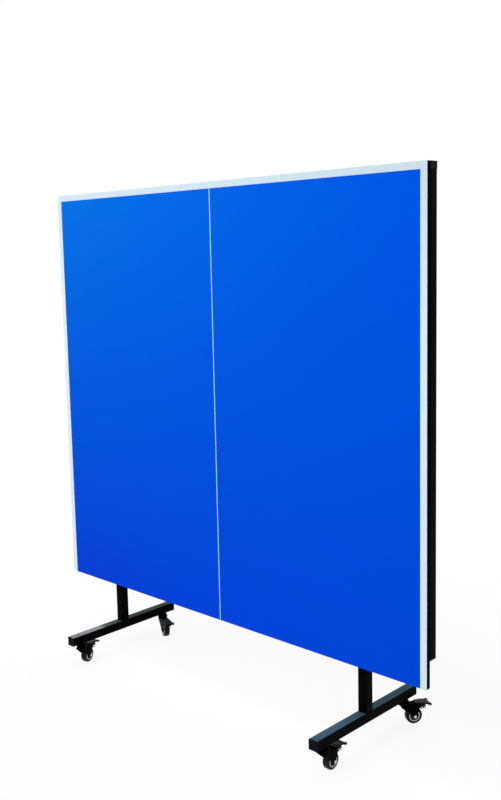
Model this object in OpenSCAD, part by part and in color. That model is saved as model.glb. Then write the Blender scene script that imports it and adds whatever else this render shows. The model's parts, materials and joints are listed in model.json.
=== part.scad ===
// One half of a rollaway ping pong table, in its upright storage position.
// X runs along the net edge, the playing face looks to -Y, and Z is up.
// The origin is on the floor, midway between the two posts.

/* [Playing half] */
// Width of the half, along the net
board_w = 1525; // [1400:5:1650]
// Length of the half, from the net edge to the end edge
board_l = 1370; // [1340:5:1450]
// Thickness of the board
board_t = 15; // [12:1:25]
// Thickness of the edge band
band_t = 1.5; // [1:0.5:2.5]
// Corner radius of the board
corner_r = 3; // [2.5:0.5:8]
// Width of the side lines and the end line
line_w = 20; // [15:1:30]
// Width of the centre line
centre_line_w = 3; // [2:0.5:6]
// Thickness of the face's paint layer and of the lines in it
line_depth = 0.2; // [0.1:0.1:0.5]
// Height of the playing face above the floor when the half is in play
play_h = 760; // [720:5:780]

/* [Frame under the board] */
// Width of a frame rail across the board
rail_w = 20; // [16:1:30]
// Depth of a frame rail behind the board
rail_d = 30; // [24:1:34]
// Depth of the two rails that carry the pivots
pivot_rail_d = 40; // [36:1:46]
// Wall of the frame rails
rail_wall = 1.5; // [1:0.25:2.5]
// Corner radius of the frame rails
rail_r = 2.5; // [2:0.5:4]
// Distance from the net edge to the lower ends of the rails
rail_setback = 76; // [60:2:110]
// Thickness of the plate on a tube's end plug
plug_t = 1.5; // [1:0.5:3]
// Gap between the tilt brackets and the lower cross rail
lower_cross_gap = 2; // [1:1:6]
// Gap between the leg hinge brackets and the upper cross rail
upper_cross_gap = 15; // [1:1:20]

/* [Net end strap] */
// Thickness of the flat strap
strap_t = 6; // [4:0.5:8]
// Width of the flat strap
strap_w = 40; // [30:1:60]
// Distance from the net edge to the strap
strap_setback = 10; // [6:1:20]
// Distance from the board's side edges to the strap's ends
strap_inset = 22; // [10:1:60]
// Thickness of the rubber bumpers on the strap
bumper_t = 2.7; // [2:0.1:6]
// Width and height of a bumper
bumper_w = 24; // [16:1:28]

/* [Posts and feet] */
// Distance from the board's side edges to the middle of each post
post_inset = 227.5; // [165:2.5:310]
// Width of a post or an end leg
post_w = 30; // [24:1:36]
// Depth of a post or an end leg
post_d = 30; // [24:1:32]
// Wall of the posts, legs, feet and braces
post_wall = 2; // [1.5:0.25:3]
// Corner radius of the posts, legs, feet and braces
post_r = 2.5; // [2.5:0.25:4]
// Height of a post's tube above the tilt pivot
post_rise = 11; // [10.5:0.5:11.5]
// Height of the foot bars
foot_h = 30; // [24:1:40]
// Length of a foot bar with its end caps
foot_l = 470; // [420:5:600]
// Thickness of a foot bar's end cap
foot_cap_t = 2; // [1:0.5:4]
// Distance from the tilt pivot down to the brace between the posts
base_brace_drop = 320; // [190:5:380]
// Height and depth of the two braces
brace_w = 28; // [20:1:32]

/* [End legs] */
// Distance from the end edge to the leg hinge
leg_inset = 107; // [104:1:120]
// Gap between a post's cap and the leveller above it in storage
leg_gap = 60.5; // [40:0.5:110]
// Distance from the leg hinge to the brace between the legs
leg_brace_drop = 603; // [300:5:650]
// Radius of a leveller's pad
pad_r = 18; // [14:1:24]
// Height of a leveller's pad
pad_h = 10; // [8:1:16]
// Radius of a leveller's stud
stud_r = 4; // [3:0.5:5]
// Length of a leveller's stud
stud_l = 42; // [36:1:60]
// Depth of the threaded plug in a leg
leg_plug_h = 24; // [18:1:30]

/* [Pivots and links] */
// Radius of a pivot bolt
pivot_r = 5; // [4:0.5:5]
// Radius of a pivot bolt's head
pivot_head_r = 9; // [8:0.5:11]
// Thickness of a pivot bolt's head
pivot_head_t = 5; // [3:0.5:6]
// Thickness of the bracket plates
bracket_t = 3; // [2:0.5:3]
// Half height of a bracket's web
web_half_h = 30; // [28:1:34]
// Radius of a bracket's round ears
ear_r = 16; // [12:1:18]
// Thickness of a pivot washer
washer_t = 1.2; // [0.8:0.1:2]
// Radius of a pivot washer
washer_r = 9; // [8:0.5:10]
// Distance of a link's pins behind and below the hinges
link_offset = 55; // [50:1:62]
// Width of a link
link_w = 20; // [16:1:24]
// Thickness of a link
link_t = 4; // [3:0.5:5]
// Thickness of the link tabs
tab_t = 4; // [3:0.5:6]
// Half height of a link tab
tab_half_h = 12; // [9:0.5:14]
// Radius of a link's pins
link_pin_r = 5; // [4:0.5:6]

/* [Tilt clamps] */
// Radius of the arc slot
slot_r = 45; // [42:1:48]
// Width of plate left outside the arc slot
slot_rim = 8; // [6:1:10]
// Radius of a clamp bolt
clamp_r = 4; // [3:0.5:5]
// Radius of a clamp bolt's head
clamp_head_r = 9; // [7:0.5:10]
// Thickness of a clamp bolt's head
clamp_head_t = 3; // [2:0.5:4]
// Length of a clamp bolt's free end past the bracket
clamp_reach = 22; // [14:1:26]
// Radius of a knob's round body
knob_r = 16; // [13:1:18]
// Thickness of a knob's star head
knob_t = 16; // [12:1:24]
// Radius of a knob's boss
knob_boss_r = 9; // [8:0.5:11]
// Length of a knob's boss
knob_boss_l = 12; // [8:1:20]
// Number of lobes on a knob
knob_lobes = 5; // [3:1:7]

/* [Casters] */
// Radius of a wheel
wheel_r = 25; // [23:0.5:26]
// Width of a tyre
tyre_w = 20; // [16:1:26]
// Radius of the rim that the tyre sits on
rim_r = 17; // [15:0.5:19]
// Distance from the swivel axis to the wheel's axle
trail = 30; // [26:1:31]
// Height of a caster from the floor to the foot bar
caster_h = 80; // [79:1:92]
// Distance from a foot bar's end to the swivel axis
caster_inset = 45; // [30:1:70]
// Thickness of the fork's sheet
fork_t = 2.5; // [1.5:0.25:3]
// Gap between the tyre and each fork leg
fork_gap = 1.8; // [1:0.1:3]
// Height of the swivel head, from the fork's crown to the foot bar
head_h = 17; // [15:0.5:20]
// Radius of the swivel races
race_r = 17; // [15:0.5:18]
// Height of each of the two swivel races
race_h = 6; // [4:0.5:6.5]
// Radius of the swivel stem
stem_r = 5; // [4:0.5:6]
// Radius of the axle
axle_r = 3; // [2.5:0.25:4]
// Travel of a brake pedal in degrees
pedal_travel = 12; // [8:1:12]
// Distance from the axle back to a brake pedal's pin
pedal_pin_back = 9; // [7:0.5:11]
// Radius of a brake pedal's pin
pedal_pin_r = 2; // [1.5:0.25:2.5]
// Length of a brake pedal past its pin
pedal_reach = 42; // [38:1:52]
// Thickness of a brake pedal's tail
pedal_t = 2.5; // [1.5:0.25:3]
// Depth of the rim under a brake pedal's tail
pedal_rim = 3; // [1.5:0.25:3.5]
// Half width of a brake pedal's tail at its tip
tail_half_w = 20; // [16:1:22]
// Radius of the steel brake bar's nose
shoe_r = 2.3; // [1.8:0.1:2.6]
// Radius of the steel cross pin in a brake pedal's lip
lip_pin_r = 2.3; // [1.5:0.1:2.6]
// Heading of the left front caster's tail, from +X
left_front_heading = 106; // [-180:1:180]
// Heading of the left back caster's tail, from +X
left_back_heading = -25; // [-180:1:180]
// Heading of the right front caster's tail, from +X
right_front_heading = 90; // [-180:1:180]
// Heading of the right back caster's tail, from +X
right_back_heading = 56; // [-180:1:180]

/* [Fasteners] */
// Radius of the frame screws
screw_r = 2; // [1.5:0.25:2.5]
// Radius of the frame screws' heads
screw_head_r = 4.5; // [3.5:0.25:5.5]
// Thickness of the frame screws' heads
screw_head_t = 2.4; // [1.5:0.1:3]
// Depth of the frame screws in the board
screw_bite = 10; // [6:0.5:11]

/* [Clearances] */
// Clearance around a turning shaft or pin
turn_fit = 0.05; // [0.02:0.01:0.08]
// Clearance between faces that pass each other
face_fit = 0.3; // [0.2:0.05:0.5]
// Clearance beside a pivot washer
washer_fit = 0.15; // [0.1:0.05:0.3]
// Clearance around the open end pin of a link
open_fit = 0.3; // [0.2:0.05:0.5]
// Clearance around a plug inside its tube
plug_fit = 0.2; // [0.1:0.05:0.4]

/* [Hidden] */
$fn = 48;
eps = 0.01;
left = -1;
right = 1;
front = -1;
back = 1;

// Depths behind the playing face, and the main heights
board_back_y = -(post_d / 2 + face_fit + bumper_t + strap_t);
face_y = board_back_y - board_t;
foot_z = caster_h;
foot_top_z = foot_z + foot_h;
pivot_z = play_h + face_y;
half_w = board_w / 2;
post_x = half_w - post_inset;

// An end leg is as long as the pivot is high, and it hangs above the post.
// The board hangs high enough for that, and always clear of the feet.
post_cap_top_z = pivot_z + post_rise + plug_t;
net_z = max(foot_top_z + board_t,
            post_cap_top_z + leg_gap + pivot_z + leg_inset - board_l);
end_z = net_z + board_l;
hinge_z = end_z - leg_inset;
leg_bottom_z = hinge_z - pivot_z;

// Frame under the board
rail_y = board_back_y + rail_d / 2;
rail_back_y = board_back_y + rail_d;
pivot_rail_y = board_back_y + pivot_rail_d / 2;
rail_bottom_z = net_z + rail_setback;
rail_top_z = end_z - rail_w;
side_rail_x = half_w - rail_w / 2;
ear_gap = washer_t + 2 * washer_fit;
inner_ear_x = post_x - post_w / 2 - ear_gap;
outer_ear_x = post_x + post_w / 2 + ear_gap;
pivot_rail_x = outer_ear_x + bracket_t;
pivot_rail_mid_x = pivot_rail_x + rail_w / 2;
pivot_nut_x = pivot_rail_x + rail_w;
pivot_nut_t = 8;
lower_cross_z = pivot_z + web_half_h + lower_cross_gap + rail_w / 2;
upper_cross_z = hinge_z + web_half_h + upper_cross_gap + rail_w / 2;
strap_z = net_z + strap_setback + strap_w / 2;
strap_back_y = board_back_y + strap_t;

// Posts, braces and casters
base_brace_z = pivot_z - base_brace_drop;
post_cap_depth = 4;
post_back_y = post_d / 2;
brace_l = 2 * post_x + post_w;
brace_y = post_back_y + brace_w / 2;
leg_brace_z = hinge_z - leg_brace_drop;
caster_y = foot_l / 2 - caster_inset;

// Link pins: the same offset from the tilt pivot and from the leg hinge
post_pin_z = pivot_z - link_offset;
leg_pin_z = hinge_z - link_offset;
tab_x = post_x + post_w / 2 - tab_t;
link_x = tab_x + tab_t + face_fit;
pin_head_x = link_x + link_t + face_fit;
pin_head_t = 2;
pin_head_r = link_pin_r + 3;

// Tilt clamps
clamp_z = pivot_z - slot_r;
clamp_tip_x = inner_ear_x - bracket_t - clamp_reach;
knob_x = inner_ear_x - bracket_t - face_fit;
slot_half_w = clamp_r + 0.2;
sector_r = slot_r + slot_half_w + slot_rim;

// Casters, each in its own frame: swivel axis on Z, tail to +X
fork_inner = tyre_w / 2 + fork_gap;
fork_outer = fork_inner + fork_t;
crown_top_z = foot_z - head_h;
crown_z = crown_top_z - fork_t;
race_split_z = crown_top_z + race_h;
race_top_z = race_split_z + face_fit + race_h;
crown_front_x = -14;
stem_nut_h = 8;
rivet_h = 2;
nut_flats = 17;
axle_nut_flats = 8;
axle_nut_t = 3;
axle_pad_r = 7;
pin_pad_r = 6;
pedal_pin_x = trail + pedal_pin_back;
pedal_pin_z = crown_z - 4;
crown_end_x = pedal_pin_x - pin_pad_r - 4;

// Brake pedal, about its pin: crest of the tail, and where the nose presses
barrel_r = 4.2;
crest_x = 4;
crest_z = 9.5;
crest_r = 180;
tail_rim_t = 2.5;
neck_half_w = fork_inner - face_fit;
shoe_angle = 38;
shoe_reach = wheel_r + face_fit + shoe_r;
pressed_x = trail + shoe_reach * cos(shoe_angle) - pedal_pin_x;
pressed_z = wheel_r + shoe_reach * sin(shoe_angle) - pedal_pin_z;
bar_l = 5;
lip_x = 22;
lip_z = -6;
lip_r = lip_pin_r + 2;

// ---- Shared shapes ----

// Rectangle with rounded corners, centred
module rounded_rect(w, d, r) {
    square([w - 2 * r, d], center = true);
    square([w, d - 2 * r], center = true);
    for (sx = [-1, 1], sy = [-1, 1])
        translate([sx * (w / 2 - r), sy * (d / 2 - r)])
            circle(r);
}

module tube_section(w, d, wall, r) {
    difference() {
        rounded_rect(w, d, r);
        rounded_rect(w - 2 * wall, d - 2 * wall, max(r - wall, 0.4));
    }
}

// Tube that stands on its lower end
module tube_up(w, d, wall, r, length) {
    linear_extrude(length)
        tube_section(w, d, wall, r);
}

// Centred tube along X, with its width upright and its depth along Y
module tube_across(w, d, wall, r, length) {
    rotate([90, 0, 90])
        linear_extrude(length, center = true)
            tube_section(d, w, wall, r);
}

// End plug: a plate that rises from z = 0 and a skirt that reaches down
module plug(w, d, wall, r, plate_t, skirt) {
    inner = 2 * (wall + plug_fit);
    linear_extrude(plate_t)
        rounded_rect(w, d, r);
    translate([0, 0, -skirt])
        linear_extrude(skirt + eps)
            rounded_rect(w - inner, d - inner, 0.5);
}

// Outline in the YZ plane, made thick along X from x = 0
module side_plate(thickness) {
    rotate([90, 0, 90])
        linear_extrude(thickness)
            children();
}

// Cylinder along X that starts at x = 0
module rod_x(r, length) {
    rotate([0, 90, 0])
        cylinder(r = r, h = length);
}

// Hexagon along Z, by its distance across flats
module hex(flats, height) {
    cylinder(r = flats / sqrt(3), h = height, $fn = 6);
}

// What stands at +X, or its mirror image at -X
module on_side(side) {
    mirror([side < 0 ? 1 : 0, 0, 0])
        children();
}

module on_both_sides() {
    for (side = [left, right])
        on_side(side)
            children();
}

// The two hinge heights share their bolts, washers and brackets
module at_both_pivots() {
    for (z = [pivot_z, hinge_z])
        translate([0, 0, z])
            children();
}

module black_steel() {
    color([0.05, 0.05, 0.055])
        children();
}

module black_plastic() {
    color([0.1, 0.1, 0.1])
        children();
}

module bright_steel() {
    color([0.75, 0.76, 0.78])
        children();
}

// ---- Feet, posts and base brace ----

module foot(side) {
    black_steel()
        difference() {
            translate([side * post_x, 0, foot_z + foot_h / 2])
                rotate([90, 0, 0])
                    linear_extrude(foot_l - 2 * foot_cap_t, center = true)
                        tube_section(post_w, foot_h, post_wall, post_r);
            for (end = [front, back])
                translate([side * post_x, end * caster_y, foot_z - 1])
                    cylinder(r = stem_r + turn_fit, h = post_wall + 2);
        }
}

module post(side) {
    black_steel()
        on_side(side)
            difference() {
                translate([post_x, 0, foot_top_z])
                    tube_up(post_w, post_d, post_wall, post_r,
                            pivot_z + post_rise - foot_top_z);
                translate([post_x - post_w, 0, pivot_z])
                    rod_x(pivot_r + turn_fit, 2 * post_w);
                translate([post_x - post_w, 0, clamp_z])
                    rod_x(clamp_r + turn_fit, 2 * post_w);
            }
}

module brace(z) {
    black_steel()
        translate([0, brace_y, z])
            tube_across(brace_w, brace_w, post_wall, post_r,
                        brace_l - 2 * plug_t);
}

module brace_caps(z) {
    on_both_sides()
        translate([brace_l / 2 - plug_t, brace_y, z])
            rotate([0, 90, 0])
                plug(brace_w, brace_w, post_wall, post_r, plug_t, 10);
}

module base_end_caps() {
    black_plastic() {
        brace_caps(base_brace_z);
        for (side = [left, right], end = [front, back])
            translate([side * post_x, end * (foot_l / 2 - foot_cap_t),
                       foot_z + foot_h / 2])
                rotate([-90 * end, 0, 0])
                    plug(post_w, foot_h, post_wall, post_r, foot_cap_t, 14);
    }
}

module tube_top_caps(z) {
    on_both_sides()
        translate([post_x, 0, z + post_rise])
            plug(post_w, post_d, post_wall, post_r, plug_t, post_cap_depth);
}

module post_top_caps() {
    black_plastic()
        tube_top_caps(pivot_z);
}

// ---- Parallelogram links that keep the end legs upright ----

module link_tab(pin_z) {
    translate([tab_x, 0, pin_z])
        side_plate(tab_t)
            difference() {
                union() {
                    translate([post_back_y, -tab_half_h])
                        square([link_offset - post_back_y, 2 * tab_half_h]);
                    translate([link_offset, 0])
                        circle(tab_half_h);
                }
                translate([link_offset, 0])
                    circle(link_pin_r + turn_fit);
            }
}

module link_pin(pin_z) {
    translate([0, link_offset, pin_z]) {
        translate([tab_x - pin_head_t, 0, 0])
            rod_x(pin_head_r, pin_head_t);
        translate([tab_x - pin_head_t, 0, 0])
            rod_x(link_pin_r, pin_head_x - tab_x + pin_head_t);
        translate([pin_head_x, 0, 0])
            rod_x(pin_head_r, pin_head_t);
    }
}

module post_link_tabs() {
    black_steel()
        on_both_sides()
            link_tab(post_pin_z);
}

module post_link_pins() {
    bright_steel()
        on_both_sides()
            link_pin(post_pin_z);
}

module leg_link_tabs() {
    black_steel()
        on_both_sides()
            link_tab(leg_pin_z);
}

module leg_link_pins() {
    bright_steel()
        on_both_sides()
            link_pin(leg_pin_z);
}

module link_bar(side) {
    span = leg_pin_z - post_pin_z;
    black_steel()
        on_side(side)
            translate([link_x, link_offset, post_pin_z])
                side_plate(link_t)
                    difference() {
                        union() {
                            translate([-link_w / 2, 0])
                                square([link_w, span]);
                            circle(link_w / 2);
                            translate([0, span])
                                circle(link_w / 2);
                        }
                        circle(link_pin_r + turn_fit);
                        translate([0, span])
                            circle(link_pin_r + open_fit);
                    }
}

// ---- Board ----

// Outline of the face, up from the middle of the net edge
module face_outline() {
    translate([0, board_l / 2])
        rounded_rect(board_w, board_l, corner_r);
}

// Outline of the wood, inside the edge band
module core_outline() {
    translate([0, board_l / 2])
        square([board_w - 2 * band_t, board_l - 2 * band_t], center = true);
}

// The strips of the lines, which run a little past the outline
module line_strips() {
    run = board_l + 2;
    for (side = [left, right])
        translate([side * (half_w - line_w / 2 + 0.5), board_l / 2])
            square([line_w + 1, run], center = true);
    translate([0, board_l - line_w / 2 + 0.5])
        square([board_w + 2, line_w + 1], center = true);
    translate([0, board_l / 2])
        square([centre_line_w, run], center = true);
}

// Flat outline over the face, made thick backwards from the face
module face_layer(thickness) {
    translate([0, face_y + thickness, net_z])
        rotate([90, 0, 0])
            linear_extrude(thickness)
                children();
}

// Wood core with its painted face, which covers the band's front edge
module playing_board() {
    color([0, 0.35, 0.88])
        difference() {
            union() {
                face_layer(board_t)
                    core_outline();
                face_layer(line_depth)
                    face_outline();
            }
            translate([0, -1, 0])
                face_layer(line_depth + 1)
                    line_strips();
            screw_shanks(screw_r + turn_fit);
        }
}

// The band stands behind the layer of the face
module edge_band() {
    color([0.04, 0.04, 0.04])
        translate([0, line_depth, 0])
            face_layer(board_t - line_depth)
                difference() {
                    face_outline();
                    core_outline();
                }
}

module court_lines() {
    color([0.93, 0.95, 0.97])
        face_layer(line_depth)
            intersection() {
                face_outline();
                line_strips();
            }
}

// ---- Frame under the board ----

module side_rails() {
    black_steel()
        difference() {
            on_both_sides()
                translate([side_rail_x, rail_y, rail_bottom_z + plug_t])
                    tube_up(rail_w, rail_d, rail_wall, rail_r,
                            rail_top_z - rail_bottom_z - plug_t);
            screw_shanks(screw_r + turn_fit);
        }
}

module end_rail() {
    black_steel()
        difference() {
            translate([0, rail_y, end_z - rail_w / 2])
                tube_across(rail_w, rail_d, rail_wall, rail_r,
                            board_w - 2 * plug_t);
            screw_shanks(screw_r + turn_fit);
        }
}

module pivot_rails() {
    black_steel()
        difference() {
            on_both_sides()
                translate([pivot_rail_mid_x, pivot_rail_y, rail_bottom_z + plug_t])
                    tube_up(rail_w, pivot_rail_d, rail_wall, rail_r,
                            rail_top_z - rail_bottom_z - plug_t);
            at_both_pivots()
                translate([-half_w, 0, 0])
                    rod_x(pivot_r + turn_fit, board_w);
        }
}

module centre_rail() {
    black_steel()
        difference() {
            translate([0, rail_y, rail_bottom_z + plug_t])
                tube_up(rail_w, rail_d, rail_wall, rail_r,
                        rail_top_z - rail_bottom_z - plug_t);
            screw_shanks(screw_r + turn_fit);
        }
}

// Each cross rail is cut where it meets the upright rails
module cross_rails() {
    inner_span = pivot_rail_x - rail_w / 2;
    outer_x = pivot_nut_x;
    outer_span = side_rail_x - rail_w / 2 - outer_x;
    black_steel()
        for (z = [lower_cross_z, upper_cross_z])
            on_both_sides() {
                translate([(rail_w / 2 + pivot_rail_x) / 2, rail_y, z])
                    tube_across(rail_w, rail_d, rail_wall, rail_r, inner_span);
                translate([outer_x + outer_span / 2, rail_y, z])
                    tube_across(rail_w, rail_d, rail_wall, rail_r, outer_span);
            }
}

module rail_end_plugs() {
    black_plastic() {
        on_both_sides() {
            translate([side_rail_x, rail_y, rail_bottom_z + plug_t])
                mirror([0, 0, 1])
                    plug(rail_w, rail_d, rail_wall, rail_r, plug_t, 10);
            translate([pivot_rail_mid_x, pivot_rail_y, rail_bottom_z + plug_t])
                mirror([0, 0, 1])
                    plug(rail_w, pivot_rail_d, rail_wall, rail_r, plug_t, 10);
            translate([half_w - plug_t, rail_y, end_z - rail_w / 2])
                rotate([0, 90, 0])
                    plug(rail_w, rail_d, rail_wall, rail_r, plug_t, 10);
        }
        translate([0, rail_y, rail_bottom_z + plug_t])
            mirror([0, 0, 1])
                plug(rail_w, rail_d, rail_wall, rail_r, plug_t, 10);
    }
}

module net_end_strap() {
    black_steel()
        difference() {
            translate([0, strap_back_y, strap_z])
                rotate([90, 0, 0])
                    linear_extrude(strap_t)
                        rounded_rect(board_w - 2 * strap_inset, strap_w, 6);
            screw_shanks(screw_r + turn_fit);
        }
}

module storage_bumpers() {
    color([0.12, 0.12, 0.12])
        on_both_sides()
            translate([post_x, strap_back_y + bumper_t, strap_z])
                rotate([90, 0, 0])
                    linear_extrude(bumper_t)
                        rounded_rect(bumper_w, bumper_w, 4);
}

// ---- Brackets ----

// Round ear about the pivot, joined to the web
module ear_outline() {
    web_y = board_back_y + bracket_t - eps;
    circle(ear_r);
    translate([web_y, -ear_r])
        square([-web_y, 2 * ear_r]);
}

// Quarter plate with the arc slot that guides the clamp bolt
module sector_outline() {
    difference() {
        union() {
            ear_outline();
            intersection() {
                circle(sector_r, $fn = 96);
                translate([-ear_r, -sector_r])
                    square([sector_r + ear_r, sector_r + ear_r]);
            }
        }
        intersection() {
            difference() {
                circle(slot_r + slot_half_w, $fn = 96);
                circle(slot_r - slot_half_w, $fn = 96);
            }
            translate([0, -2 * slot_r])
                square(2 * slot_r);
        }
        translate([0, -slot_r])
            circle(slot_half_w);
        translate([slot_r, 0])
            circle(slot_half_w);
    }
}

// U bracket: inner ear, web against the board and outer ear on the rail
module u_bracket() {
    difference() {
        union() {
            translate([inner_ear_x - bracket_t, 0, 0])
                side_plate(bracket_t)
                    children();
            translate([outer_ear_x, 0, 0])
                side_plate(bracket_t)
                    ear_outline();
            translate([inner_ear_x - bracket_t, board_back_y, -web_half_h])
                cube([pivot_rail_x - inner_ear_x + bracket_t, bracket_t,
                      2 * web_half_h]);
        }
        rod_x(pivot_r + turn_fit, half_w);
    }
}

module tilt_brackets() {
    black_steel()
        difference() {
            on_both_sides()
                translate([0, 0, pivot_z])
                    u_bracket()
                        sector_outline();
            screw_shanks(screw_r + turn_fit);
        }
}

module leg_hinge_brackets() {
    black_steel()
        difference() {
            on_both_sides()
                translate([0, 0, hinge_z])
                    u_bracket()
                        ear_outline();
            screw_shanks(screw_r + turn_fit);
        }
}

// ---- Fasteners of the top ----

// Places of the screws that pass through rails, strap and webs
function side_screw_z(i) =
    rail_bottom_z + 60 + i * (rail_top_z - rail_bottom_z - 120) / 4;

module at_rail_screws() {
    for (side = [left, right], i = [0 : 4])
        translate([side * side_rail_x, rail_back_y, side_screw_z(i)])
            children();
    for (i = [0 : 2 : 4])
        translate([0, rail_back_y, side_screw_z(i)])
            children();
    for (side = [left, right], i = [1, 2])
        translate([side * i * board_w / 6, rail_back_y, end_z - rail_w / 2])
            children();
}

module at_strap_screws() {
    for (side = [left, right], share = [0.2, 0.5, 0.93])
        translate([side * share * (half_w - strap_inset), strap_back_y, strap_z])
            children();
}

module at_web_screws() {
    on_both_sides()
        at_both_pivots()
            for (end = [-1, 1])
                translate([post_x, board_back_y + bracket_t,
                           end * (web_half_h - 8)])
                    children();
}

// Shanks from each head's seat to their depth in the board
module shank(r, seat_depth) {
    translate([0, eps, 0])
        rotate([90, 0, 0])
            cylinder(r = r, h = seat_depth + screw_bite + eps);
}

module screw_shanks(r) {
    at_rail_screws()
        shank(r, rail_d);
    at_strap_screws()
        shank(r, strap_t);
    at_web_screws()
        shank(r, bracket_t);
}

module screw_head() {
    rotate([-90, 0, 0])
        cylinder(r1 = screw_head_r, r2 = screw_head_r - 1, h = screw_head_t);
}

module frame_screws() {
    bright_steel() {
        screw_shanks(screw_r);
        at_rail_screws()
            screw_head();
        at_strap_screws()
            screw_head();
        at_web_screws()
            screw_head();
    }
}

module pivot_bolts() {
    head_x = inner_ear_x - bracket_t - pivot_head_t;
    bright_steel()
        on_both_sides()
            at_both_pivots() {
                translate([head_x, 0, 0])
                    rod_x(pivot_head_r, pivot_head_t);
                translate([head_x, 0, 0])
                    rod_x(pivot_r, pivot_nut_x - head_x + pivot_nut_t + 2);
                translate([pivot_nut_x, 0, 0])
                    rotate([0, 90, 0])
                        hex(nut_flats, pivot_nut_t);
            }
}

module pivot_washers() {
    color([0.8, 0.8, 0.78])
        on_both_sides()
            at_both_pivots()
                for (x = [inner_ear_x + washer_fit,
                          outer_ear_x - washer_fit - washer_t])
                    translate([x, 0, 0])
                        difference() {
                            rod_x(washer_r, washer_t);
                            translate([-1, 0, 0])
                                rod_x(pivot_r + turn_fit, washer_t + 2);
                        }
}

// ---- Tilt clamps ----

module clamp_bolts() {
    head_x = post_x + post_w / 2;
    bright_steel()
        on_both_sides()
            translate([0, 0, clamp_z]) {
                translate([clamp_tip_x, 0, 0])
                    rod_x(clamp_r, head_x - clamp_tip_x + eps);
                translate([head_x, 0, 0])
                    rotate([0, 90, 0])
                        cylinder(r1 = clamp_head_r, r2 = clamp_head_r - 2,
                                 h = clamp_head_t - face_fit);
            }
}

module star_outline() {
    circle(knob_r);
    for (i = [0 : knob_lobes - 1])
        rotate(i * 360 / knob_lobes)
            translate([knob_r, 0])
                circle(knob_r * 0.4);
}

module clamp_knob(side) {
    black_plastic()
        on_side(side)
            translate([knob_x, 0, clamp_z])
                difference() {
                    union() {
                        translate([-knob_boss_l, 0, 0])
                            rod_x(knob_boss_r, knob_boss_l);
                        translate([-knob_boss_l - knob_t, 0, 0])
                            side_plate(knob_t)
                                star_outline();
                    }
                    translate([-clamp_reach, 0, 0])
                        rod_x(clamp_r + turn_fit, clamp_reach + 1);
                }
}

// ---- End legs ----

module end_leg(side) {
    tube_z = leg_bottom_z + pad_h + face_fit + foot_cap_t;
    black_steel()
        on_side(side)
            difference() {
                translate([post_x, 0, tube_z])
                    tube_up(post_w, post_d, post_wall, post_r,
                            hinge_z + post_rise - tube_z);
                translate([post_x - post_w, 0, hinge_z])
                    rod_x(pivot_r + turn_fit, 2 * post_w);
            }
}

// Top caps, threaded bottom plugs and brace caps
module leg_end_caps() {
    plug_z = leg_bottom_z + pad_h + face_fit + foot_cap_t;
    black_plastic() {
        tube_top_caps(hinge_z);
        brace_caps(leg_brace_z);
        on_both_sides()
            difference() {
                translate([post_x, 0, plug_z])
                    mirror([0, 0, 1])
                        plug(post_w, post_d, post_wall, post_r, foot_cap_t,
                             leg_plug_h);
                translate([post_x, 0, plug_z - foot_cap_t - 1])
                    cylinder(r = stud_r + turn_fit,
                             h = leg_plug_h + foot_cap_t + 2);
            }
    }
}

module leveller(side) {
    translate([side * post_x, 0, leg_bottom_z]) {
        black_plastic()
            rotate_extrude()
                polygon([[0, 0], [pad_r, 0], [pad_r, pad_h * 0.4],
                         [pad_r * 0.55, pad_h], [0, pad_h]]);
        bright_steel()
            translate([0, 0, pad_h - eps])
                cylinder(r = stud_r, h = stud_l + eps);
    }
}

// ---- Casters ----

module left_front() {
    translate([left * post_x, front * caster_y, 0])
        rotate([0, 0, left_front_heading])
            children();
}

module left_back() {
    translate([left * post_x, back * caster_y, 0])
        rotate([0, 0, left_back_heading])
            children();
}

module right_front() {
    translate([right * post_x, front * caster_y, 0])
        rotate([0, 0, right_front_heading])
            children();
}

module right_back() {
    translate([right * post_x, back * caster_y, 0])
        rotate([0, 0, right_back_heading])
            children();
}

// Swivel stem, with its rivet head, upper race and the nuts on the foot bar
module stem() {
    stem_top = foot_z + post_wall + stem_nut_h + 3;
    rivet_z = crown_z - face_fit - rivet_h;
    translate([0, 0, rivet_z])
        cylinder(r = stem_r + 3, h = rivet_h);
    translate([0, 0, rivet_z])
        cylinder(r = stem_r, h = stem_top - rivet_z);
    translate([0, 0, race_split_z + face_fit])
        cylinder(r1 = race_r, r2 = race_r - 4, h = race_h);
    translate([0, 0, race_top_z])
        hex(nut_flats, foot_z - race_top_z);
    translate([0, 0, foot_z + post_wall])
        hex(nut_flats, stem_nut_h);
}

module caster_stems() {
    black_steel() {
        left_front() stem();
        left_back() stem();
        right_front() stem();
        right_back() stem();
    }
}

// Folded sheet in cross section: two legs and the crown between them
module fork_section() {
    bend_r = fork_t + 1.5;
    difference() {
        union() {
            translate([-fork_outer, 0])
                square([2 * fork_outer, crown_top_z - bend_r]);
            translate([bend_r - fork_outer, 0])
                square([2 * (fork_outer - bend_r), crown_top_z]);
            for (side = [-1, 1])
                translate([side * (fork_outer - bend_r), crown_top_z - bend_r])
                    circle(bend_r);
        }
        translate([-fork_inner, -1])
            square([2 * fork_inner, crown_z + 1]);
    }
}

// Side view of the fork: a broad crown that narrows to the axle
module fork_outline() {
    back_x = pedal_pin_x + pin_pad_r;
    polygon([[crown_front_x, crown_top_z], [crown_front_x, crown_z - 3],
             [trail - axle_pad_r, wheel_r], [trail + axle_pad_r, wheel_r],
             [back_x, pedal_pin_z - pin_pad_r], [back_x, crown_z],
             [crown_end_x + 2, crown_top_z]]);
    translate([trail, wheel_r])
        circle(axle_pad_r);
}

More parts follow.
